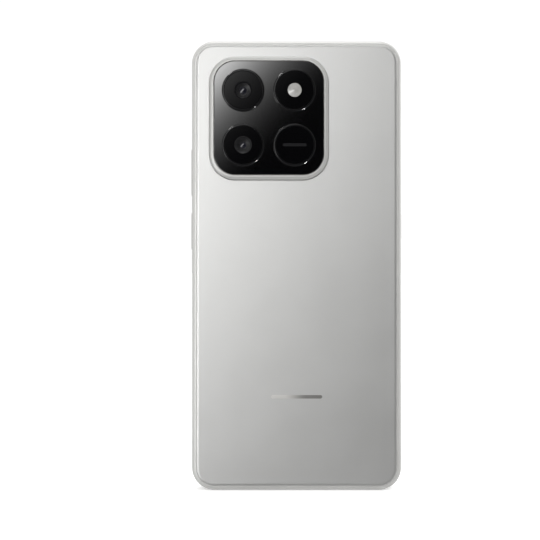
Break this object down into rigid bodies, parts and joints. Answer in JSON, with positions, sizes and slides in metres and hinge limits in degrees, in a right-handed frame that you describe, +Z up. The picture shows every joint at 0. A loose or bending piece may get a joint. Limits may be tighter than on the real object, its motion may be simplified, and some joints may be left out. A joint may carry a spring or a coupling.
{
  "type": "smartphone",
  "caption": "Slim slab smartphone with a satin silver rear cover, a raised square camera island with round lens discs, three side keys, a card tray and a charging socket.",
  "frame": {"origin": "centre of the lower edge: the middle of the lowest plane of the standing phone, with width and total depth centred", "axes": "+Z up the phone towards its top edge, -Y out of the rear cover, +Y out of the screen, +X to the right when looking at the rear"},
  "size_m": [0.0766, 0.0106, 0.1628],
  "materials": {
    "cover_satin": "satin silver-grey frosted glass, fine sheen",
    "frame_metal": "satin anodised silver band",
    "key_metal": "satin anodised silver, polished edge",
    "island_metal": "satin silver with a bright rounded shoulder",
    "black_glass": "mirror-gloss black",
    "black_trim": "black, fine bright bevel",
    "lens_glass": "coated lens window, dark with grey reflections",
    "flash_diffuser": "pale frosted diffuser",
    "screen_glass": "black glass, switched off",
    "display": "dark display panel",
    "adhesive": "matt black foam tape",
    "magnesium": "bead-blasted light alloy",
    "camera_black": "matt black moulding",
    "black_plastic": "matt black moulding",
    "circuit_board": "green solder mask",
    "chip": "dark moulded package",
    "thermal_pad": "soft grey pad",
    "can_steel": "tinned sheet",
    "copper": "bare copper track",
    "battery_foil": "dark printed foil pouch",
    "graphite": "dark graphite film",
    "flex_circuit": "amber film",
    "cable_sheath": "thin black sheath",
    "screw_steel": "zinc-plated steel"
  },
  "bodies": {
    "phone_body": {"side_frame": "frame_metal", "rear_cover": "cover_satin", "cover_adhesive": "adhesive", "front_glass": "screen_glass", "display_adhesive": "adhesive", "display_panel": "display", "mid_plate": "magnesium", "display_flex": "flex_circuit", "camera_trim": "island_metal", "camera_plate": "black_glass", "main_ring": "black_trim", "second_ring": "black_trim", "flash_ring": "black_trim", "sensor_ring": "black_trim", "main_lens_glass": "lens_glass", "second_lens_glass": "lens_glass", "sensor_window": "black_glass", "flash_insert": "black_glass", "flash_lens": "flash_diffuser", "main_camera": "camera_black", "second_camera": "camera_black", "flash_board": "camera_black", "front_camera": "camera_black", "earpiece": "black_plastic", "proximity_sensor": "camera_black", "main_board": "circuit_board", "processor": "chip", "thermal_pad": "thermal_pad", "processor_shield": "can_steel", "radio_shield": "can_steel", "power_shield": "can_steel", "board_cover": "black_plastic", "nfc_coil": "copper", "battery": "battery_foil", "graphite_sheet": "graphite", "main_flex": "flex_circuit", "battery_flex": "flex_circuit", "antenna_cable": "cable_sheath", "sub_board": "circuit_board", "usb_socket": "can_steel", "loudspeaker": "black_plastic", "microphone": "can_steel", "vibration_motor": "can_steel", "volume_switch": "flex_circuit", "power_switch": "flex_circuit", "side_switch": "flex_circuit", "sim_reader": "can_steel", "cover_screw_1": "screw_steel", "cover_screw_2": "screw_steel", "cover_screw_3": "screw_steel", "board_screw_1": "screw_steel", "board_screw_2": "screw_steel", "lower_screw_1": "screw_steel", "lower_screw_2": "screw_steel", "lower_screw_3": "screw_steel"},
    "volume_rocker": {"volume_key": "key_metal"},
    "power_button": {"power_key": "key_metal"},
    "side_button": {"side_key": "key_metal"},
    "card_tray": {"sim_tray": "frame_metal"}
  },
  "joints": [
    {"name": "volume_rock", "type": "hinge", "parent": "phone_body", "child": "volume_rocker", "pos_m": [-0.036, 0.00122, 0.1154], "axis": [0, 1, 0], "range_deg": [-1.4, 1.4], "stiffness_Nm_per_rad": 0.05},
    {"name": "power_press", "type": "slide", "parent": "phone_body", "child": "power_button", "axis": [1, 0, 0], "range_m": [0, 0.00025], "stiffness_N_per_m": 400},
    {"name": "side_press", "type": "slide", "parent": "phone_body", "child": "side_button", "axis": [-1, 0, 0], "range_m": [0, 0.00025], "stiffness_N_per_m": 400},
    {"name": "tray_slide", "type": "slide", "parent": "phone_body", "child": "card_tray", "axis": [1, 0, 0], "range_m": [0, 0.0225]}
  ]
}
